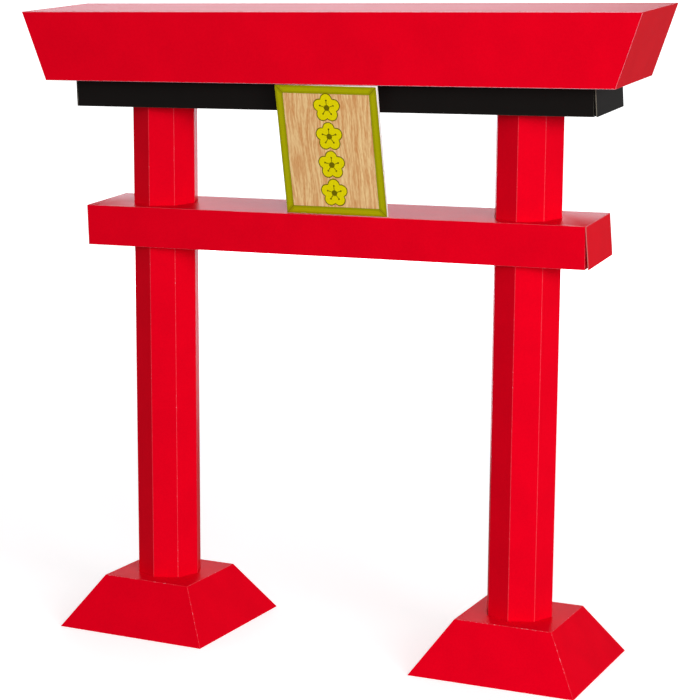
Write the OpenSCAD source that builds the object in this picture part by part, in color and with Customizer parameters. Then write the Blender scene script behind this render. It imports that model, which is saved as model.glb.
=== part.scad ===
// Free-standing torii gate folded from coated card, with a small leaning plaque.
// Millimetres, +Z up. X runs along the beams and -Y is the front. The origin is on
// the ground, midway between the two posts.

/* [Card] */
// Thickness of the folded card
card = 0.6; // [0.4:0.1:1.5]
// Clearance round a post where it passes through a cut-out
post_fit = 0.3; // [0.1:0.1:1]
// Width of the glue tabs turned in at the ends of the black and tie beams
tab_w = 12; // [5:1:20]

/* [Beams] */
// Forward tilt of the three beams on the posts, as set by hand
beam_tilt = 3.6; // [0:0.1:5]

/* [Top beam] */
// Length of the top beam along its upper edge
top_beam_len = 450; // [360:1:560]
// How far each end of the top beam leans out from its lower to its upper edge
top_beam_flare = 17; // [0:1:30]
// Height of the top beam
top_beam_h = 48.5; // [30:0.5:80]
// Depth of the top beam, front to back
top_beam_depth = 96; // [70:1:140]

/* [Black beam] */
// How far each end of the black beam lies inside the top beam's lower edge
black_beam_inset = 16.5; // [5:0.5:40]
// Height of the black beam
black_beam_h = 19.5; // [10:0.5:30]
// Depth of the black beam, front to back
black_beam_depth = 67; // [56:1:69]
// How far the black beam's sides stop short of its end flaps
black_beam_short = 0.7; // [0:0.1:2]
// Angle that the black beam's left end flap springs out at its foot
black_left_splay = 0; // [0:0.5:6]
// Angle that the black beam's right end flap springs out at its foot
black_right_splay = 3; // [0:0.5:6]

/* [Posts] */
// Height of the posts' upper ends above the ground, on their axes
post_top = 387; // [300:1:480]
// Width of a post, corner to corner
post_across = 48; // [30:1:54]
// Distance from a post's axis to the end of the black beam
post_inset = 54; // [35:1:80]
// Turn of the left post and its base about the post's axis, as set by hand
left_turn = -3.5; // [-5:0.5:5]
// Turn of the right post and its base about the post's axis, as set by hand
right_turn = -2; // [-5:0.5:5]

/* [Tie beam] */
// Gap from the tie beam's upper face to the black beam's lower face, level with the axes
tie_beam_drop = 71.5; // [50:0.5:120]
// Height of the tie beam
tie_beam_h = 29; // [18:1:45]
// How far the tie beam runs out past each post's axis
tie_beam_overhang = 49; // [40:1:70]
// Card left in front of and behind a post where it passes through the tie beam
tie_beam_margin = 6; // [2:0.5:15]
// How far the tie beam's sides stop short of its end flaps
tie_beam_short = 0.1; // [0:0.1:2]
// Angle that the tie beam's left end flap springs out at its foot
tie_left_splay = 0; // [0:0.5:6]
// Angle that the tie beam's right end flap springs out at its foot
tie_right_splay = 4; // [0:0.5:6]

/* [Bases] */
// Width of a base at the ground
base_w = 120; // [90:1:160]
// Width of a base at its top
base_top_w = 70.5; // [60:0.5:85]
// Height of a base
base_h = 37; // [20:1:60]

/* [Plaque] */
// Width of the plaque
plaque_w = 76; // [50:1:100]
// Thickness of the plaque's board
plaque_board_t = 1.2; // [0.8:0.1:3]
// Thickness of the printed sheet on the board
plaque_sheet_t = 0.2; // [0.1:0.1:0.5]
// Turn of the plaque about the upright, as set by hand
plaque_turn = -2; // [-5:0.5:5]
// Distance of the plaque's middle to the right of the gate's middle
plaque_shift = 9; // [-20:1:20]
// Distance of the plaque's foot behind the tie beam's front face
plaque_foot_setback = 3; // [1:0.5:12]
// Distance of the plaque's rear upper edge behind the top beam's front face
plaque_head_setback = 1.9; // [1.5:0.1:12]
// Clearance at the plaque's foot and at its upper edge
plaque_fit = 0.2; // [0.1:0.1:1]

/* [Hidden] */

red = [0.85, 0.04, 0.09];
black = [0.09, 0.08, 0.07];
white_board = [0.95, 0.94, 0.9];
wood_print = [0.88, 0.69, 0.49];

left = -1;
right = 1;
// Reach of a cutter past the faces it cuts
cut = 1;

black_beam_len = top_beam_len - 2*top_beam_flare - 2*black_beam_inset;
post_x = black_beam_len/2 - post_inset;
tie_beam_len = 2*(post_x + tie_beam_overhang);
tie_beam_depth = post_across + 2*tie_beam_margin;
tie_beam_middle = post_top - tie_beam_drop - tie_beam_h/2;
plaque_t = plaque_board_t + plaque_sheet_t;
plaque_foot = tilted(tie_beam_middle, plaque_foot_setback - tie_beam_depth/2, tie_beam_h/2);
plaque_head = tilted(post_top, plaque_head_setback - top_beam_depth/2, black_beam_h);
// Height and forward reach from the plaque's front lower edge to its rear upper edge
plaque_rise = plaque_head[1] - plaque_foot[1] - 2*plaque_fit;
plaque_reach = plaque_foot[0] - plaque_head[0];
plaque_h = sqrt(pow(plaque_rise, 2) + pow(plaque_reach, 2) - pow(plaque_t, 2));
plaque_lean = atan2(plaque_reach, plaque_rise) + atan2(plaque_t, plaque_h);

// Y and Z of a point of a beam that tilts about the line along X at the given height
function tilted(height, y, z) = [
    y*cos(beam_tilt) - z*sin(beam_tilt),
    height + y*sin(beam_tilt) + z*cos(beam_tilt)
];

// Tilts a beam about the line along X at the given height
module beam_place(height) {
    translate([0, 0, height]) rotate([beam_tilt, 0, 0]) children();
}

// Places what stands on the ground at one side, with its post's axis on the origin
module side_place(side) {
    translate([side*post_x, 0, 0])
        rotate([0, 0, side == left ? left_turn : right_turn])
            children();
}

// Prism whose outline is given in X and Z, with its depth centred on Y
module upright_prism(outline, depth) {
    translate([0, depth/2, 0])
        rotate([90, 0, 0])
            linear_extrude(depth) polygon(outline);
}

// Four panels folded into a tube along X, standing on z = 0. Only the upper panel has the
// full length: the others stop short, and two of them turn in as glue tabs.
module folded_tube(len, depth, h, short) {
    sides_len = len - 2*short;
    difference() {
        union() {
            translate([-len/2, -depth/2, h - card]) cube([len, depth, card]);
            translate([-sides_len/2, -depth/2, 0]) cube([sides_len, depth, h]);
        }
        translate([card - sides_len/2, card - depth/2, card])
            cube([sides_len - 2*card, depth - 2*card, h - 2*card]);
        translate([-len/2 - cut, tab_w - depth/2, card])
            cube([len + 2*cut, depth - 2*tab_w, h - 2*card]);
    }
}

// Flap hinged along the end of a tube's upper panel and sprung out at its foot, set down
// just enough to keep its upper edge level with the tube
module end_flap(side, tube_len, depth, h, splay) {
    translate([side*tube_len/2, 0, h - card*sin(splay)])
        rotate([0, -side*splay, 0])
            translate([side == left ? -card : 0, -depth/2, -h])
                cube([card, depth, h]);
}

// Outline of the top beam's front, drawn in by the given card thickness at each end
function top_beam_outline(inset) =
    let (slant = inset*sqrt(1 + pow(top_beam_flare/top_beam_h, 2)))
    [
        [top_beam_flare - top_beam_len/2 + slant, 0],
        [top_beam_len/2 - top_beam_flare - slant, 0],
        [top_beam_len/2 - slant, top_beam_h],
        [slant - top_beam_len/2, top_beam_h]
    ];

module top_beam_wrap() {
    color(red)
        beam_place(post_top)
            translate([0, 0, black_beam_h])
                difference() {
                    upright_prism(top_beam_outline(card), top_beam_depth);
                    translate([-top_beam_len/2 - cut, card - top_beam_depth/2, card])
                        cube([
                            top_beam_len + 2*cut,
                            top_beam_depth - 2*card,
                            top_beam_h - 2*card
                        ]);
                }
}

module top_beam_end(side) {
    outer = top_beam_outline(0);
    inner = top_beam_outline(card);
    panel = side == left
        ? [outer[0], inner[0], inner[3], outer[3]]
        : [inner[1], outer[1], outer[2], inner[2]];
    color(red)
        beam_place(post_top)
            translate([0, 0, black_beam_h]) upright_prism(panel, top_beam_depth);
}

module top_beam_end_left() { top_beam_end(left); }
module top_beam_end_right() { top_beam_end(right); }

module black_beam_wrap() {
    color(black)
        beam_place(post_top)
            folded_tube(
                black_beam_len - 2*card, black_beam_depth, black_beam_h, black_beam_short
            );
}

module black_beam_end(side) {
    color(black)
        beam_place(post_top)
            end_flap(
                side, black_beam_len - 2*card, black_beam_depth, black_beam_h,
                side == left ? black_left_splay : black_right_splay
            );
}

module black_beam_end_left() { black_beam_end(left); }
module black_beam_end_right() { black_beam_end(right); }

// Eight-sided column with a corner facing the front
module octagon_column(across, h) {
    cylinder(d = across, h = h, $fn = 8);
}

// Sets the tie beam's own frame, which stands on its lower face, at its place
module tie_beam_place() {
    beam_place(tie_beam_middle) translate([0, 0, -tie_beam_h/2]) children();
}

module tie_beam_wrap() {
    color(red)
        difference() {
            tie_beam_place()
                folded_tube(
                    tie_beam_len - 2*card, tie_beam_depth, tie_beam_h, tie_beam_short
                );
            for (side = [left, right])
                side_place(side)
                    translate([0, 0, tie_beam_middle - tie_beam_h])
                        octagon_column(post_across + 2*post_fit, 2*tie_beam_h);
        }
}

module tie_beam_end(side) {
    color(red)
        tie_beam_place()
            end_flap(
                side, tie_beam_len - 2*card, tie_beam_depth, tie_beam_h,
                side == left ? tie_left_splay : tie_right_splay
            );
}

module tie_beam_end_left() { tie_beam_end(left); }
module tie_beam_end_right() { tie_beam_end(right); }

// A post stands on its base's floor and carries the black beam, whose tilt its top follows
module post(side) {
    wall = card/cos(180/8);
    uncut = post_top + post_across;
    color(red)
        difference() {
            side_place(side)
                translate([0, 0, card])
                    difference() {
                        octagon_column(post_across, uncut);
                        translate([0, 0, -cut])
                            octagon_column(post_across - 2*wall, uncut + 2*cut);
                    }
            beam_place(post_top)
                translate([-top_beam_len/2, -post_across, 0])
                    cube([top_beam_len, 2*post_across, 2*post_across]);
        }
}

module post_left() { post(left); }
module post_right() { post(right); }

// Outline of a base's side, drawn in by the given card thickness and run on past both ends
function base_outline(inset, over) =
    let (
        run = (base_w - base_top_w)/2/base_h,
        slant = inset*sqrt(1 + run*run),
        foot = base_w/2 - slant + run*over,
        head = base_top_w/2 - slant - run*over
    )
    [[-foot, -over], [foot, -over], [head, base_h + over], [-head, base_h + over]];

// Square block with four sloping sides
module base_block(inset, over) {
    outline = base_outline(inset, over);
    intersection() {
        upright_prism(outline, base_w + 2*base_h);
        rotate([0, 0, 90]) upright_prism(outline, base_w + 2*base_h);
    }
}

// The base's outer block between two heights
module base_layer(z0, z1) {
    intersection() {
        base_block(0, 0);
        translate([-base_w, -base_w, z0]) cube([2*base_w, 2*base_w, z1 - z0]);
    }
}

module base_skirt(side) {
    color(red)
        side_place(side)
            difference() {
                base_layer(card, base_h - card);
                base_block(card, cut);
            }
}

module base_top(side) {
    color(red)
        side_place(side)
            difference() {
                base_layer(base_h - card, base_h);
                translate([0, 0, base_h - card - cut])
                    octagon_column(post_across + 2*post_fit, card + 2*cut);
            }
}

module base_floor(side) {
    color(red) side_place(side) base_layer(0, card);
}

module base_left_skirt() { base_skirt(left); }
module base_left_top() { base_top(left); }
module base_left_floor() { base_floor(left); }
module base_right_skirt() { base_skirt(right); }
module base_right_top() { base_top(right); }
module base_right_floor() { base_floor(right); }

// The plaque stands on the tie beam and leans forward under the top beam's front edge.
// Its own frame has the foot of the sheet's face at the origin, X to the right and Z up.
module plaque_place() {
    translate([plaque_shift, plaque_foot[0], plaque_foot[1] + plaque_fit])
        rotate([plaque_lean, 0, plaque_turn]) children();
}

module plaque_sheet() {
    color(wood_print)
        plaque_place()
            translate([-plaque_w/2, 0, 0]) cube([plaque_w, plaque_sheet_t, plaque_h]);
}

module plaque_board() {
    color(white_board)
        plaque_place()
            translate([-plaque_w/2, plaque_sheet_t, 0])
                cube([plaque_w, plaque_board_t, plaque_h]);
}

top_beam_wrap();
top_beam_end_left();
top_beam_end_right();
black_beam_wrap();
black_beam_end_left();
black_beam_end_right();
tie_beam_wrap();
tie_beam_end_left();
tie_beam_end_right();
post_left();
post_right();
base_left_skirt();
base_left_top();
base_left_floor();
base_right_skirt();
base_right_top();
base_right_floor();
plaque_board();
plaque_sheet();
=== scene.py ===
"""Dresses the packed card torii gate: folded card with worn creases that carry a painted highlight,
and a printed plaque.
"""

import math
from collections import namedtuple
from functools import wraps

import bmesh
import bpy
from mathutils import Matrix, Vector


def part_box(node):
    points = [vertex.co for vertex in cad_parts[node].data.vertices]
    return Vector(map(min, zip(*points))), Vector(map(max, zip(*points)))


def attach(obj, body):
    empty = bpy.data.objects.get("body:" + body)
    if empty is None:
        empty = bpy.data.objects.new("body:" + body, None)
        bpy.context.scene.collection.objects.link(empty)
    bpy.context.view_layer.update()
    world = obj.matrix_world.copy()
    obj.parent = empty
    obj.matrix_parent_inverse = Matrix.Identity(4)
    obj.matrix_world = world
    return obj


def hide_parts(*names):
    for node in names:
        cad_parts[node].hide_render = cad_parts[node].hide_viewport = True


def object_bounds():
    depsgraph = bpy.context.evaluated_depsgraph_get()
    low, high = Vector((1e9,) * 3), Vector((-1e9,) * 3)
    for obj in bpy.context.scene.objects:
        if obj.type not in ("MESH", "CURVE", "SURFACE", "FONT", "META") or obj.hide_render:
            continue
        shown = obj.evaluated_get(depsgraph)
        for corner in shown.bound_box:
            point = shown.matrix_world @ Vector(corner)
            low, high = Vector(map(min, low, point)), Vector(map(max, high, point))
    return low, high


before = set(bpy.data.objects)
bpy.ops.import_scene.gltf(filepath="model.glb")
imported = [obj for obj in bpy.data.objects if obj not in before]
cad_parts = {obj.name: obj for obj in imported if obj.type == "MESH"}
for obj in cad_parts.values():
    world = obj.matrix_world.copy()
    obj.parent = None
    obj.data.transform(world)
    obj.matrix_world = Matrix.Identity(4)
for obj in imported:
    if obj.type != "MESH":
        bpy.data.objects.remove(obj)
CAD_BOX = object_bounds()

bl_info = {
    "name": "Card Torii Gate",
    "version": (1, 0, 0),
    "blender": (4, 5, 0),
    "location": "3D View > Sidebar > Torii Gate",
    "description": "Dresses a card torii gate in folded card, with a printed plaque and a studio",
    "category": "Object",
}

MM = 0.001
# Corners of a folded node that lie nearer than this are one corner
WELD = 0.002 * MM
# Faces that differ by less than this angle are one flat panel
FLAT_ANGLE = math.radians(0.4)
# An edge between two panels that meet at more than this angle is a fold
FOLD_ANGLE = math.radians(20)
# A face narrower than this is the cut edge of the card, and not a panel
RIM_WIDTH = 0.9 * MM
# Smallest share of a direction that counts as facing it
FACING = 0.8

# How far the edges of the top beam's end panels are rounded, as a share of a fold's width
END_PANEL_WEAR = 0.4
# Rounding of the plaque board's edges
BOARD_ROUNDING = 0.12 * MM

# Range that holds most values of a noise
MOST_NOISE = (0.3, 0.7)
# Noise above which a fold with no cover is cracked, and how far full cover lowers it
CRACK_FROM, CRACK_DROP = 0.66, 0.28
# How far above and below that noise a crack fades
CRACK_BLUR = 0.06

# Share of the print's corner drift, sideways and downwards, at its two right corners
LOWER_DRIFT = Vector((0.4, 0.0, 0.0))
UPPER_DRIFT = Vector((1.0, 0.78, 0.0))
# Share of a rail's width that lies on each side of its lighter stripe
RAIL_SIDE = 0.24

# Blossoms on the plaque, petals on each, and corners on the outline of each petal
BLOSSOMS = 4
PETALS = 5
PETAL_CORNERS = 18
# Where the blossoms' middles lie across the sheet, as a share of its width
BLOSSOM_ACROSS = 0.495
# Shares of a blossom's radius: a petal's reach and radius, a stamen's ends, and the hub
PETAL_REACH, PETAL_RADIUS = 0.55, 0.45
STAMEN_FROM, STAMEN_TO = 0.16, 0.50
HUB_RADIUS = 0.2
# Shares of the outline's width: a stamen, and the radius of its tip
STAMEN_WIDTH, TIP_RADIUS = 0.75, 0.95
# Shares of the ink's height: how high the stamens and the hub are centred, and a stamen's depth
STAMEN_LEVEL, HUB_LEVEL = 1.2, 1.4
STAMEN_DEPTH = 0.8
# Corners round a stamen's tip and round the hub
TIP_CORNERS, HUB_CORNERS = 12, 24

# Rows and columns of the floor's grid
FLOOR_CELLS = 72
# Distances from the gate between which the floor's glow rises
GLOW_FROM, GLOW_TO = 0.7, 2.2
# How far above and below level the light from above gives way to the light from below
HORIZON_BLUR = 0.15
# Lamps that face the gate: azimuth from its front to its right and elevation in degrees,
# distance and width in metres, power in watts, and whether the card mirrors the lamp
Lamp = namedtuple("Lamp", "name azimuth elevation distance width power mirrored")
LAMPS = (
    Lamp("side_light", azimuth=55, elevation=12, distance=2.4, width=1.1, power=27.5, mirrored=False),
    Lamp("front_light", azimuth=25, elevation=12, distance=1.7, width=0.8, power=9.0, mirrored=False),
    Lamp("back_light", azimuth=204, elevation=5, distance=2.4, width=1.7, power=20.5, mirrored=True),
)

# Sockets of a Mix node for colours, whose names its sockets for numbers and vectors share
MIX_SHARE, MIX_LOW, MIX_HIGH, MIX_RESULT = 0, 6, 7, 2

# Material order on every folded piece
COATED, CREASE, CUT = range(3)
# Layers of the plaque's print, in the order of its materials
WOOD, RAIL, STRIPE, LINE, PETAL = range(5)

UP = Vector((0, 0, 1))
DOWN = Vector((0, 0, -1))
# The two sides, each with the way that leads from it to the gate's middle
SIDES = {"left": Vector((1, 0, 0)), "right": Vector((-1, 0, 0))}
# The left flaps are folded shut. The right ones hang from a fold at the top, and show the
# other cut edges of their card
FLAP_COATED_RIMS = {"left": True, "right": [UP]}


def ink(red, green, blue):
    """Linear colour of a printed ink, from its shares of red, green and blue on a screen."""
    return tuple(
        share / 12.92 if share <= 0.04045 else ((share + 0.055) / 1.055) ** 2.4
        for share in (red, green, blue)
    )


def colour_property(name, description, shares):
    """Colour property with an ink as its default."""
    return bpy.props.FloatVectorProperty(
        name=name,
        description=description,
        default=ink(*shares),
        subtype="COLOR",
        size=3,
        min=0.0,
        max=1.0,
    )


def length_property(name, description, default):
    """Length property in metres."""
    return bpy.props.FloatProperty(
        name=name, description=description, default=default, unit="LENGTH", subtype="DISTANCE"
    )


def angle_property(name, description, degrees):
    """Angle property with its default in degrees."""
    return bpy.props.FloatProperty(
        name=name, description=description, default=math.radians(degrees), subtype="ANGLE"
    )


def strength_property(name, description, default):
    """Strength of a light."""
    return bpy.props.FloatProperty(name=name, description=description, default=default, min=0.0)


class GateCardSettings(bpy.types.PropertyGroup):
    """Sizes and colours of the folded card."""

    fold_width: length_property(
        "Fold width", "How far a fold's rounding reaches into each panel", 0.28 * MM
    )
    red: colour_property("Red", "Coated red of the beams, posts and bases", (0.93, 0.0, 0.115))
    black: colour_property("Black", "Coated black of the middle beam", (0.09, 0.08, 0.075))
    # Core is also the pale colour that the folds' painted highlight runs towards
    core: colour_property("Core", "Pale board that shows in the cracks", (0.95, 0.73, 0.79))
    red_core: colour_property(
        "Red core", "Board that shows at the cut edges of red card", (0.86, 0.48, 0.46)
    )
    black_core: colour_property(
        "Black core", "Board that shows at the cut edges of black card", (0.50, 0.48, 0.43)
    )


class GatePlaqueSettings(bpy.types.PropertyGroup):
    """Sizes and colours of the plaque's print."""

    rail_width: length_property("Rail width", "Width of the printed rails", 5.6 * MM)
    line_width: length_property("Line width", "Width of the dark lines along the rails", 0.35 * MM)
    corner_drift: length_property(
        "Corner drift", "How far the print's upper right corner lies inside the board", 0.9 * MM
    )
    sheet_thickness: length_property("Sheet thickness", "Thickness of the printed sheet", 0.2 * MM)
    motif_radius: length_property("Motif radius", "Radius of a blossom, tip to middle", 10.3 * MM)
    motif_outline: length_property("Motif outline", "Width of a blossom's dark outline", 0.7 * MM)
    ink_relief: length_property("Ink relief", "Height of the blossoms' ink layer", 0.04 * MM)
    rail: colour_property("Rail", "Olive gold of the rails", (0.63, 0.62, 0.0))
    stripe: colour_property("Stripe", "Lighter stripe along the rails", (0.70, 0.69, 0.0))
    line: colour_property("Line", "Dark olive lines and outlines", (0.46, 0.42, 0.0))
    petal: colour_property("Petal", "Yellow of the blossoms", (0.93, 0.87, 0.0))
    wood_light: colour_property("Light wood", "Light grain of the print", (1.0, 0.86, 0.62))
    wood_dark: colour_property("Dark wood", "Dark grain of the print", (0.86, 0.60, 0.36))
    board: colour_property("Board", "White board behind the print", (0.96, 0.95, 0.93))


class GateStudioSettings(bpy.types.PropertyGroup):
    """Camera, lights and floor."""

    camera_place: bpy.props.FloatVectorProperty(
        name="Camera place",
        description="Where the camera stands",
        default=(0.5412, -1.3218, 0.4541),
        subtype="TRANSLATION",
        size=3,
    )
    camera_yaw: angle_property("Camera yaw", "Turn of the camera to its left", 23.97)
    camera_pitch: angle_property("Camera pitch", "Tilt of the camera downwards", 10.52)
    camera_lens: bpy.props.FloatProperty(
        name="Lens", description="Focal length", default=104.31, unit="CAMERA"
    )
    camera_shift: bpy.props.FloatVectorProperty(
        name="Lens shift",
        description="Shift of the lens to the right and upwards",
        default=(0.1, 0.05),
        size=2,
    )
    floor_radius: length_property("Floor radius", "Radius of the floor's flat middle", 3.0)
    floor_reach: length_property("Floor reach", "Half the width of the whole floor", 9.0)
    floor_colour: colour_property("Floor", "Pale floor", (0.95, 0.95, 0.95))
    glow_near: strength_property("Glow near", "Light that the floor gives off at the gate", 0.5)
    glow_far: strength_property("Glow far", "Light that the floor gives off far behind", 1.0)
    sheen: colour_property("Sheen", "Colour of the light that glances off the tops", (1, 0.96, 1))
    light_above: strength_property("Light above", "Strength of the light from above", 0.40)
    light_below: strength_property("Light below", "Strength of the light from below", 0.24)


class Wire:
    """A shader socket that adds Math nodes as it is used in an expression."""

    def __init__(self, look, socket):
        self.look = look
        self.socket = socket

    def _math(self, operation, first, second):
        return self.look.add("ShaderNodeMath", {"operation": operation}, {0: first, 1: second})

    def __add__(self, other):
        return self._math("ADD", self, other)

    def __radd__(self, other):
        return self._math("ADD", other, self)

    def __sub__(self, other):
        return self._math("SUBTRACT", self, other)

    def __rsub__(self, other):
        return self._math("SUBTRACT", other, self)

    def __mul__(self, other):
        return self._math("MULTIPLY", self, other)

    def __rmul__(self, other):
        return self._math("MULTIPLY", other, self)

    def between(self, low, high):
        """Smooth step from 0 at low to 1 at high."""
        return self.look.add(
            "ShaderNodeMapRange",
            {"interpolation_type": "SMOOTHSTEP"},
            {"Value": self, "From Min": low, "From Max": high},
        )


class NodeTree:
    """A shader node tree that starts empty."""

    def __init__(self, owner):
        owner.use_nodes = True
        self.tree = owner.node_tree
        self.tree.nodes.clear()

    def add(self, kind, settings=None, inputs=None, output=0):
        """Adds a node: its settings first, then the values or links of its sockets."""
        node = self.tree.nodes.new(kind)
        for key, value in (settings or {}).items():
            setattr(node, key, value)
        for key, value in (inputs or {}).items():
            if isinstance(value, Wire):
                self.tree.links.new(value.socket, node.inputs[key])
            else:
                node.inputs[key].default_value = value
        return None if output is None else Wire(self, node.outputs[output])

    def along(self, vector, axis):
        """One coordinate of a vector, by the name of its axis."""
        return self.add("ShaderNodeSeparateXYZ", None, {"Vector": vector}, output=axis)


class Look(NodeTree):
    """One material, which ends in one Principled shader."""

    def __init__(self, name):
        self.material = bpy.data.materials.new(name)
        super().__init__(self.material)

    def place(self):
        """Coordinates of the piece, in metres."""
        return self.add("ShaderNodeTexCoord", output="Object")

    def stretched(self, vector, scale):
        """Coordinates scaled by a different number along each axis."""
        return self.add("ShaderNodeMapping", None, {"Vector": vector, "Scale": scale})

    def noise(self, vector, grain, detail=2.0, roughness=0.5):
        """Noise whose features are about as wide as grain, in metres."""
        return self.add(
            "ShaderNodeTexNoise",
            None,
            {
                "Vector": vector,
                "Scale": 1.0 / grain,
                "Detail": detail,
                "Roughness": roughness,
            },
        )

    def blend(self, share, low, high):
        """Colour that goes from low to high with share."""
        low, high = [c if isinstance(c, Wire) else (*c, 1.0) for c in (low, high)]
        return self.add(
            "ShaderNodeMix",
            {"data_type": "RGBA"},
            {MIX_SHARE: share, MIX_LOW: low, MIX_HIGH: high},
            output=MIX_RESULT,
        )

    def finish(self, colour, roughness, relief=None, **constants):
        """Ends the tree. relief is a height in metres; constants go on the shader's own sockets."""
        inputs = {"Base Color": colour, "Roughness": roughness}
        inputs.update({key.replace("_", " "): value for key, value in constants.items()})
        if relief is not None:
            inputs["Normal"] = self.add(
                "ShaderNodeBump", None, {"Height": relief, "Distance": 1.0, "Strength": 1.0}
            )
        shader = self.add("ShaderNodeBsdfPrincipled", None, inputs)
        self.add("ShaderNodeOutputMaterial", None, {"Surface": shader}, output=None)
        return self.material


def shade(colour, factor):
    """Colour made lighter or darker by a factor."""
    return tuple(min(1.0, c * factor) for c in colour)


def made_once(recipe):
    """Lets the recipe of a material run only once for each name."""

    @wraps(recipe)
    def material(name, *colours, **options):
        return bpy.data.materials.get(name) or recipe(name, *colours, **options)

    return material


@made_once
def coated_card(name, colour, roughness=0.34, gloss=0.02):
    """Coated, printed card: uneven ink, a faint fibre texture and slightly wavy gloss."""
    look = Look(name)
    place = look.place()
    cloud = look.noise(place, 28 * MM, detail=3)
    speckle = look.noise(place, 1.6 * MM, detail=3, roughness=0.6)
    fibre = look.noise(place, 0.5 * MM, detail=2, roughness=0.6)
    wave = look.noise(place, 90 * MM, detail=1)
    ink_share = cloud.between(*MOST_NOISE) * 0.6 + speckle.between(*MOST_NOISE) * 0.4
    tone = look.blend(ink_share, shade(colour, 0.93), shade(colour, 1.03))
    return look.finish(
        tone,
        roughness - 0.05 + speckle * 0.1,
        relief=fibre * (0.008 * MM) + speckle * (0.01 * MM) + wave * (0.5 * MM),
        Specular_IOR_Level=gloss,
    )


@made_once
def cracked_and_highlit_fold(name, colour, core, stretch_and_highlight, cover):
    """Fold whose coating is painted pale all along, partly as stretched coating and partly as a
    painted highlight on the rounded fold, and cracked to the core here and there.

    stretch is how pale it is, from the stretched coating and the painted highlight together, and
    cover how much of it has cracked, each from 0 to 1.
    """
    look = Look(name)
    place = look.place()
    dashes = look.noise(place, 2.2 * MM, detail=2, roughness=0.7)
    hairs = look.noise(place, 0.35 * MM, detail=2, roughness=0.7)
    worn = dashes * 0.6 + hairs * 0.4
    edge = CRACK_FROM - CRACK_DROP * cover
    cracks = worn.between(edge - CRACK_BLUR, edge + CRACK_BLUR)
    # Pale tone along the whole fold: partly stretched coating, partly a painted highlight of the
    # rounded fold's gloss
    stretched = look.blend(hairs.between(*MOST_NOISE) * (2 * stretch_and_highlight), colour, core)
    tone = look.blend(cracks * 0.8, stretched, core)
    return look.finish(
        tone, 0.42 + cracks * 0.3, relief=hairs * (-0.02 * MM), Specular_IOR_Level=0.03
    )


@made_once
def raw_edge(name, core, stain):
    """Cut edge of the card: layered fibres, stained a little by the ink beside it."""
    look = Look(name)
    place = look.place()
    fibre = look.noise(place, 0.3 * MM, detail=3, roughness=0.7)
    blotch = look.noise(place, 3 * MM, detail=2)
    tone = look.blend(
        fibre.between(0.35, 0.75) * 0.35 + blotch.between(0.5, 0.8) * 0.25, core, stain
    )
    return look.finish(tone, 0.85, relief=fibre * (0.03 * MM), Specular_IOR_Level=0.3)


def red_finishes(label, stretch_and_highlight, cover, gloss=0.02):
    """Coated red, its worn folds with their painted highlight, and its cut edges, in the order of a
    folded piece.
    """
    card = bpy.context.scene.gate_card
    return [
        coated_card(f"red_coating_{label}", card.red, gloss=gloss),
        cracked_and_highlit_fold(f"red_fold_{label}", card.red, card.core, stretch_and_highlight, cover),
        raw_edge("red_cut_edge", card.red_core, card.red),
    ]


def black_finishes():
    """Coated black, its rubbed folds with their painted highlight, and its greyed cut edges, in the
    same order.
    """
    card = bpy.context.scene.gate_card
    return [
        coated_card("black_coating", card.black, roughness=0.42, gloss=0.08),
        cracked_and_highlit_fold("black_fold", card.black, card.black_core, stretch_and_highlight=0.2, cover=0.2),
        raw_edge("black_cut_edge", card.black_core, card.black),
    ]


def merged_copy(node):
    """A node's mesh as whole flat panels, with its corners merged."""
    bm = bmesh.new()
    bm.from_mesh(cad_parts[node].data)
    bmesh.ops.remove_doubles(bm, verts=bm.verts, dist=WELD)
    bmesh.ops.dissolve_limit(
        bm, angle_limit=FLAT_ANGLE, use_dissolve_boundaries=False, verts=bm.verts, edges=bm.edges
    )
    return bm


def is_rim(face):
    """Whether a face, which may run round as a ring, is only as wide as the card is thick."""
    return 2 * face.calc_area() < face.calc_perimeter() * RIM_WIDTH


def tag_faces(bm, middle, joined, coated_rims):
    """Gives each face its finish: coated outside, bare card inside and at the cut edges.

    joined is the direction of the side that lies against the next piece, or None. Rims that
    face one of coated_rims carry the coating on to the next panel; True is all of them.
    """
    for face in bm.faces:
        outwards = (face.calc_center_median() - middle).dot(face.normal) > 0
        hidden = joined is not None and face.normal.dot(joined) > FACING
        if is_rim(face):
            carried = coated_rims is True or any(
                face.normal.dot(direction) > FACING for direction in coated_rims
            )
            coated = outwards and carried
        else:
            coated = outwards and not hidden
        face.material_index = COATED if coated else CUT


def round_folds(bm, width):
    """Rounds the edges between coated panels, which become cracked folds with a painted highlight."""
    folds = [
        edge
        for edge in bm.edges
        if len(edge.link_faces) == 2
        and edge.is_convex
        and edge.calc_face_angle() > FOLD_ANGLE
        and all(face.material_index == COATED for face in edge.link_faces)
    ]
    rounded = bmesh.ops.bevel(
        bm,
        geom=folds,
        offset=width,
        offset_type="OFFSET",
        segments=3,
        profile=0.5,
        affect="EDGES",
        clamp_overlap=True,
        material=-1,
    )
    for face in rounded["faces"]:
        face.material_index = CREASE
        face.smooth = True


def finished_piece(bm, name, finishes, slot, *replaced):
    """Makes a bmesh into a piece that rides on the body and stands for its nodes."""
    mesh = bpy.data.meshes.new(name)
    bm.to_mesh(mesh)
    bm.free()
    for finish in finishes:
        mesh.materials.append(finish)
    piece = bpy.data.objects.new(name, mesh)
    bpy.context.scene.collection.objects.link(piece)
    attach(piece, "root")
    if replaced:
        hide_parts(*replaced)
    return piece


def folded_piece(node, finishes, slot, joined=None, coated_rims=(), wear=1.0):
    """Folded card piece that stands for a node. wear scales how far its folds are rounded."""
    card = bpy.context.scene.gate_card
    low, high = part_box(node)
    bm = merged_copy(node)
    tag_faces(bm, (low + high) / 2, joined, coated_rims)
    round_folds(bm, card.fold_width * wear)
    return finished_piece(bm, f"{node}_card", finishes, slot, node)


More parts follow.
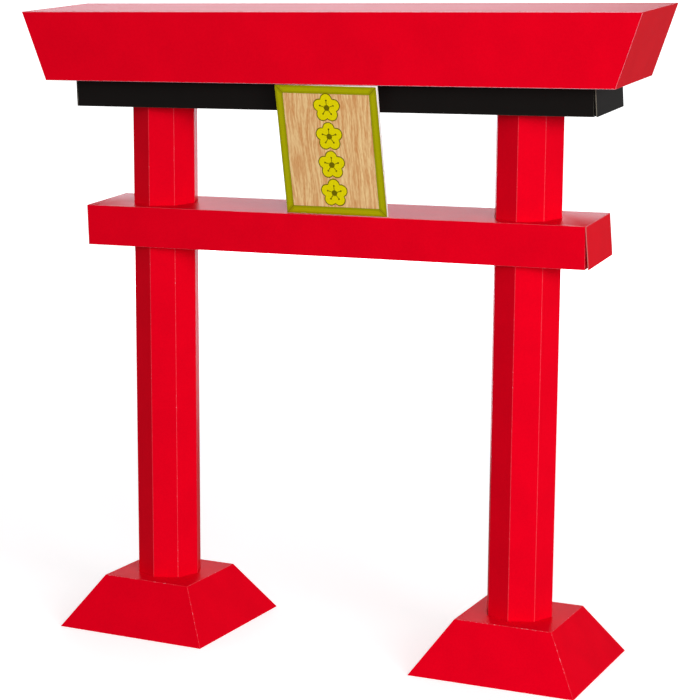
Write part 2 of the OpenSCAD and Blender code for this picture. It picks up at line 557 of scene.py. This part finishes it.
def folded_beam(beam, finishes, slot, end_rims, end_wear=1.0):
    """A beam's wrapped sheet, and the flap or panel at each of its ends."""
    folded_piece(f"{beam}_wrap", finishes, slot)
    for side, inwards in SIDES.items():
        end = f"{beam}_end_{side}"
        folded_piece(end, finishes, slot, inwards, coated_rims=end_rims[side], wear=end_wear)


class GATE_OT_top_beam(bpy.types.Operator):
    """Fold the red top beam and its slanted ends"""

    bl_idname = "gate.top_beam"
    bl_label = "Top beam"

    def execute(self, context):
        finishes = red_finishes("top_beam", stretch_and_highlight=0.8, cover=0.5)
        end_rims = dict.fromkeys(SIDES, True)
        folded_beam("top_beam", finishes, "red_card", end_rims, end_wear=END_PANEL_WEAR)
        return {"FINISHED"}


class GATE_OT_black_beam(bpy.types.Operator):
    """Fold the black beam and its end flaps"""

    bl_idname = "gate.black_beam"
    bl_label = "Black beam"

    def execute(self, context):
        folded_beam("black_beam", black_finishes(), "black_card", FLAP_COATED_RIMS)
        return {"FINISHED"}


class GATE_OT_tie_beam(bpy.types.Operator):
    """Fold the red tie beam and its end flaps"""

    bl_idname = "gate.tie_beam"
    bl_label = "Tie beam"

    def execute(self, context):
        finishes = red_finishes("tie_beam", stretch_and_highlight=0.3, cover=0.15)
        folded_beam("tie_beam", finishes, "red_card", FLAP_COATED_RIMS)
        return {"FINISHED"}


class GATE_OT_posts(bpy.types.Operator):
    """Fold the two eight-sided posts"""

    bl_idname = "gate.posts"
    bl_label = "Posts"

    def execute(self, context):
        finishes = red_finishes("post", stretch_and_highlight=0.07, cover=0.05)
        for side in SIDES:
            folded_piece(f"post_{side}", finishes, "red_card")
        return {"FINISHED"}


class GATE_OT_bases(bpy.types.Operator):
    """Fold the two sloping bases"""

    bl_idname = "gate.bases"
    bl_label = "Bases"

    def execute(self, context):
        finishes = red_finishes("base", stretch_and_highlight=0.04, cover=0.26, gloss=0.005)
        for side in SIDES:
            folded_piece(f"base_{side}_skirt", finishes, "red_card")
            folded_piece(f"base_{side}_top", finishes, "red_card", DOWN, coated_rims=True)
            folded_piece(f"base_{side}_floor", finishes, "red_card", UP, coated_rims=True)
        return {"FINISHED"}


@made_once
def printed(name, colour, uneven=0.06):
    """Flat printed ink with a little unevenness."""
    look = Look(name)
    speckle = look.noise(look.place(), 0.8 * MM, detail=3, roughness=0.6)
    tone = look.blend(
        speckle.between(*MOST_NOISE), shade(colour, 1 - uneven), shade(colour, 1 + uneven)
    )
    return look.finish(
        tone, 0.42 + speckle * 0.1, relief=speckle * (0.006 * MM), Specular_IOR_Level=0.1
    )


@made_once
def wood_print(name, light, dark):
    """Printed wood grain: long streaks that wander up the sheet, on the sheet's own UV map."""
    look = Look(name)
    sheet = look.add("ShaderNodeTexCoord", output="UV")
    wander = look.noise(look.stretched(sheet, (1.0, 0.35, 1.0)), 22 * MM, detail=2)
    across = look.along(sheet, "X") + wander * (9 * MM)
    up = look.along(sheet, "Y") * 0.07
    bent = look.add("ShaderNodeCombineXYZ", None, {"X": across, "Y": up})
    broad = look.noise(bent, 5 * MM, detail=2)
    streak = look.noise(bent, 1.5 * MM, detail=3, roughness=0.6)
    fleck = look.noise(look.stretched(sheet, (1.0, 0.16, 1.0)), 0.6 * MM, detail=2)
    grain = (
        broad.between(*MOST_NOISE) * 0.3
        + streak.between(0.42, 0.58) * 0.55
        + fleck.between(0.4, 0.65) * 0.25
    )
    tone = look.blend(grain, light, dark)
    return look.finish(
        tone, 0.5 - grain * 0.08, relief=fleck * (0.006 * MM), Specular_IOR_Level=0.15
    )


class SheetFrame:
    """Plane of the plaque's front face, from the node that carries the print."""

    def __init__(self, node):
        bm = merged_copy(node)
        front = max(bm.faces, key=lambda face: face.calc_area() * max(0.0, -face.normal.y))
        corners = [vert.co.copy() for vert in front.verts]
        self.normal = front.normal.copy()
        bm.free()
        corners.sort(key=lambda corner: corner.z)
        lower = sorted(corners[:2], key=lambda corner: corner.x)
        upper = sorted(corners[2:], key=lambda corner: corner.x)
        self.width = (lower[1] - lower[0]).length
        self.height = (upper[0] - lower[0]).length
        right = (lower[1] - lower[0]).normalized()
        up = (upper[0] - lower[0]).normalized()
        axes = Matrix((right, up, self.normal)).transposed().to_4x4()
        self.matrix = Matrix.Translation(lower[0]) @ axes

    def settle(self, bm):
        """Gives flat work a UV map in metres, then moves it on to the sheet."""
        layer = bm.loops.layers.uv.new("sheet")
        for face in bm.faces:
            for loop in face.loops:
                loop[layer].uv = loop.vert.co.xy
        bmesh.ops.transform(bm, matrix=self.matrix, verts=bm.verts)


def flat_box(low, high):
    """Bmesh box between two corners."""
    bm = bmesh.new()
    size = high - low
    place = Matrix.Translation((low + high) / 2) @ Matrix.Diagonal((*size, 1.0))
    bmesh.ops.create_cube(bm, size=1.0, matrix=place)
    return bm


def scallop(angle, reach, radius):
    """Distance from a blossom's middle to its outline, which its round petals make.

    reach is how far out each petal is centred.
    """
    step = 2 * math.pi / PETALS
    off = (angle + step / 2) % step - step / 2
    return reach * math.cos(off) + math.sqrt(radius**2 - (reach * math.sin(off)) ** 2)


def ink_faces(verts, layer):
    """Gives the faces round these corners one ink."""
    for face in {face for vert in verts for face in vert.link_faces}:
        face.material_index = layer


def print_dot(bm, radius, corners, height, place):
    """Adds a round dark dot of ink."""
    dot = bmesh.ops.create_cone(
        bm,
        cap_ends=True,
        segments=corners,
        radius1=radius,
        radius2=radius,
        depth=height,
        matrix=place,
    )
    ink_faces(dot["verts"], LINE)


def plaque_finishes(plaque):
    """The plaque's inks in the order of its layers."""
    return [
        wood_print("wood_print", plaque.wood_light, plaque.wood_dark),
        printed("olive_rail", plaque.rail),
        printed("olive_stripe", plaque.stripe),
        printed("olive_line", plaque.line),
        printed("petal_yellow", plaque.petal),
    ]


class GATE_OT_plaque(bpy.types.Operator):
    """Make the plaque's board and the sheet printed with rails and wood"""

    bl_idname = "gate.plaque"
    bl_label = "Plaque"

    def execute(self, context):
        plaque = context.scene.gate_plaque
        self.cut_board(plaque)
        self.print_sheet(plaque)
        return {"FINISHED"}

    @staticmethod
    def cut_board(plaque):
        """White board with slightly rounded edges."""
        bm = merged_copy("plaque_board")
        bmesh.ops.bevel(
            bm,
            geom=bm.edges[:],
            offset=BOARD_ROUNDING,
            segments=2,
            profile=0.5,
            affect="EDGES",
            material=-1,
        )
        finishes = [printed("board_face", plaque.board, uneven=0.02)]
        finished_piece(bm, "plaque_board_card", finishes, "plaque_board", "plaque_board")

    @staticmethod
    def print_sheet(plaque):
        """Sheet with its rails inset as bands, so that their corners are mitred."""
        sheet = SheetFrame("plaque_sheet")
        back = Vector((0, 0, -plaque.sheet_thickness))
        bm = flat_box(back, Vector((sheet.width, sheet.height, 0)))
        for vert in bm.verts:
            if vert.co.x > sheet.width / 2:
                drift = UPPER_DRIFT if vert.co.y > sheet.height / 2 else LOWER_DRIFT
                vert.co -= drift * plaque.corner_drift
        front = max(bm.faces, key=lambda face: face.normal.z)
        rails = bmesh.ops.inset_region(
            bm, faces=[front], thickness=plaque.rail_width, use_even_offset=True
        )["faces"]
        for rail in rails:
            rail.material_index = RAIL
        lines = bmesh.ops.inset_individual(
            bm, faces=rails, thickness=plaque.line_width / 2, use_even_offset=True
        )["faces"]
        for line in lines:
            line.material_index = LINE
        bands = bmesh.ops.inset_individual(
            bm, faces=rails, thickness=plaque.rail_width * RAIL_SIDE, use_even_offset=True
        )["faces"]
        for band in bands:
            band.material_index = RAIL
        for rail in rails:
            rail.material_index = STRIPE
        sheet.settle(bm)
        finishes = plaque_finishes(plaque)
        finished_piece(bm, "plaque_print", finishes, "plaque_print", "plaque_sheet")


class GATE_OT_blossoms(bpy.types.Operator):
    """Print the column of blossoms on the plaque"""

    bl_idname = "gate.blossoms"
    bl_label = "Blossoms"

    def execute(self, context):
        plaque = context.scene.gate_plaque
        sheet = SheetFrame("plaque_sheet")
        step = (sheet.height - 2 * plaque.rail_width) / BLOSSOMS
        middle = Vector((sheet.width * BLOSSOM_ACROSS, sheet.height / 2, 0))
        for number in range(BLOSSOMS):
            centre = middle + Vector((0, (number - (BLOSSOMS - 1) / 2) * -step, 0))
            bm = bmesh.new()
            self.print_petals(bm, plaque)
            self.print_stamens(bm, plaque)
            bmesh.ops.translate(bm, verts=bm.verts, vec=centre)
            sheet.settle(bm)
            finishes = plaque_finishes(plaque)
            finished_piece(bm, f"plaque_blossom_{number + 1}", finishes, "plaque_print")
        return {"FINISHED"}

    @staticmethod
    def print_petals(bm, plaque):
        """Round petals in one raised layer of ink, with a dark outline."""
        reach = plaque.motif_radius * PETAL_REACH
        radius = plaque.motif_radius * PETAL_RADIUS
        corners = PETALS * PETAL_CORNERS
        bmesh.ops.create_circle(bm, cap_ends=True, radius=1.0, segments=corners)
        for vert in bm.verts:
            angle = math.atan2(vert.co.x, vert.co.y)
            vert.co = vert.co.normalized() * scallop(angle, reach, radius)
        layer = bmesh.ops.extrude_face_region(bm, geom=bm.faces[:])["geom"]
        lifted = [item for item in layer if isinstance(item, bmesh.types.BMVert)]
        bmesh.ops.translate(bm, verts=lifted, vec=(0, 0, plaque.ink_relief))
        ink_faces(bm.verts, LINE)
        top = max(bm.faces, key=lambda face: face.calc_center_median().z)
        bmesh.ops.inset_region(bm, faces=[top], thickness=plaque.motif_outline)
        top.material_index = PETAL

    @staticmethod
    def print_stamens(bm, plaque):
        """A dark stamen with a round tip on each petal, and a dark hub between them."""
        height = plaque.ink_relief
        start = plaque.motif_radius * STAMEN_FROM
        end = plaque.motif_radius * STAMEN_TO
        size = (plaque.motif_outline * STAMEN_WIDTH, end - start, height * STAMEN_DEPTH, 1)
        for petal in range(PETALS):
            turn = Matrix.Rotation(-petal * 2 * math.pi / PETALS, 4, "Z")
            middle = turn @ Matrix.Translation((0, (start + end) / 2, height * STAMEN_LEVEL))
            strip = bmesh.ops.create_cube(bm, size=1.0, matrix=middle @ Matrix.Diagonal(size))
            ink_faces(strip["verts"], LINE)
            place = turn @ Matrix.Translation((0, end, height * STAMEN_LEVEL))
            print_dot(bm, plaque.motif_outline * TIP_RADIUS, TIP_CORNERS, height, place)
        place = Matrix.Translation((0, 0, height * HUB_LEVEL))
        print_dot(bm, plaque.motif_radius * HUB_RADIUS, HUB_CORNERS, height, place)


class GATE_OT_studio(bpy.types.Operator):
    """Set up the floor, the soft light and the camera"""

    bl_idname = "gate.studio"
    bl_label = "Studio"

    def execute(self, context):
        studio = context.scene.gate_studio
        self.make_floor(studio)
        self.make_lights(studio)
        self.make_camera(studio)
        context.scene.view_settings.view_transform = "Standard"
        return {"FINISHED"}

    @staticmethod
    def make_floor(studio):
        """Floor that curves up all round and glows more with distance, so that no edge shows."""
        bm = bmesh.new()
        cells = FLOOR_CELLS
        bmesh.ops.create_grid(bm, x_segments=cells, y_segments=cells, size=studio.floor_reach)
        for vert in bm.verts:
            outside = max(0.0, vert.co.xy.length - studio.floor_radius)
            vert.co.z = outside**2 / studio.floor_reach
        for face in bm.faces:
            face.smooth = True
        mesh = bpy.data.meshes.new("floor")
        bm.to_mesh(mesh)
        bm.free()
        look = Look("floor_paper")
        place = look.place()
        cloud = look.noise(place, 400 * MM, detail=2)
        distance = look.add(
            "ShaderNodeVectorMath", {"operation": "LENGTH"}, {0: place}, output="Value"
        )
        glow = look.blend(
            distance.between(GLOW_FROM, GLOW_TO), (studio.glow_near,) * 3, (studio.glow_far,) * 3
        )
        tone = look.blend(
            cloud, shade(studio.floor_colour, 0.99), shade(studio.floor_colour, 1.01)
        )
        mesh.materials.append(
            look.finish(
                tone,
                0.9 - cloud * 0.05,
                Specular_IOR_Level=0.0,
                Emission_Color=glow,
                Emission_Strength=1.0,
            )
        )
        floor = bpy.data.objects.new("floor", mesh)
        floor.visible_diffuse = False
        floor.visible_glossy = False
        floor.visible_shadow = False
        bpy.context.scene.collection.objects.link(floor)

    @staticmethod
    def make_lights(studio):
        """Soft light from above and below, and the lamps round the gate."""
        world = bpy.data.worlds.new("studio")
        tree = NodeTree(world)
        direction = tree.add("ShaderNodeTexCoord", output="Generated")
        share = tree.along(direction, "Z").between(-HORIZON_BLUR, HORIZON_BLUR)
        strength = studio.light_below + share * (studio.light_above - studio.light_below)
        light = tree.add(
            "ShaderNodeBackground", None, {"Color": (1, 1, 1, 1), "Strength": strength}
        )
        tree.add("ShaderNodeOutputWorld", None, {"Surface": light}, output=None)
        bpy.context.scene.world = world
        middle = (CAD_BOX[0] + CAD_BOX[1]) / 2
        for lamp in LAMPS:
            data = bpy.data.lights.new(lamp.name, "AREA")
            data.shape = "DISK"
            data.size = lamp.width
            data.energy = lamp.power
            if lamp.mirrored:
                data.color = studio.sheen
            turn = Matrix.Rotation(math.radians(lamp.azimuth), 3, "Z")
            tilt = Matrix.Rotation(-math.radians(lamp.elevation), 3, "X")
            place = middle + turn @ tilt @ Vector((0, -lamp.distance, 0))
            light = bpy.data.objects.new(lamp.name, data)
            light.location = place
            light.rotation_euler = (middle - place).to_track_quat("-Z", "Y").to_euler()
            light.visible_camera = False
            light.visible_glossy = lamp.mirrored
            bpy.context.scene.collection.objects.link(light)

    @staticmethod
    def make_camera(studio):
        """Camera that stands where the studio's settings say."""
        data = bpy.data.cameras.new("camera")
        data.lens = studio.camera_lens
        data.shift_x, data.shift_y = studio.camera_shift
        data.clip_end = 4 * studio.floor_reach
        camera = bpy.data.objects.new("camera", data)
        camera.location = studio.camera_place
        camera.rotation_euler = (math.pi / 2 - studio.camera_pitch, 0.0, studio.camera_yaw)
        bpy.context.scene.collection.objects.link(camera)
        bpy.context.scene.camera = camera


PIECES = (
    GATE_OT_top_beam,
    GATE_OT_black_beam,
    GATE_OT_tie_beam,
    GATE_OT_posts,
    GATE_OT_bases,
    GATE_OT_plaque,
    GATE_OT_blossoms,
    GATE_OT_studio,
)
SETTINGS = {
    "gate_card": GateCardSettings,
    "gate_plaque": GatePlaqueSettings,
    "gate_studio": GateStudioSettings,
}


class GATE_PT_panel(bpy.types.Panel):
    """Lists the gate's settings and its pieces"""

    bl_idname = "GATE_PT_panel"
    bl_label = "Torii Gate"
    bl_space_type = "VIEW_3D"
    bl_region_type = "UI"
    bl_category = "Torii Gate"

    def draw(self, context):
        for setting, group in SETTINGS.items():
            box = self.layout.box()
            box.label(text=group.__doc__)
            for name in group.__annotations__:
                box.prop(getattr(context.scene, setting), name)
        for operator in PIECES:
            self.layout.operator(operator.bl_idname)


def register():
    for setting, group in SETTINGS.items():
        bpy.utils.register_class(group)
        setattr(bpy.types.Scene, setting, bpy.props.PointerProperty(type=group))
    for operator in PIECES:
        bpy.utils.register_class(operator)
    bpy.utils.register_class(GATE_PT_panel)


def unregister():
    bpy.utils.unregister_class(GATE_PT_panel)
    for operator in reversed(PIECES):
        bpy.utils.unregister_class(operator)
    for setting, group in SETTINGS.items():
        delattr(bpy.types.Scene, setting)
        bpy.utils.unregister_class(group)


def main():
    """Registers the add-on, then makes every piece."""
    register()
    for operator in PIECES:
        category, name = operator.bl_idname.split(".")
        getattr(getattr(bpy.ops, category), name)()


if __name__ == "__main__":
    main()
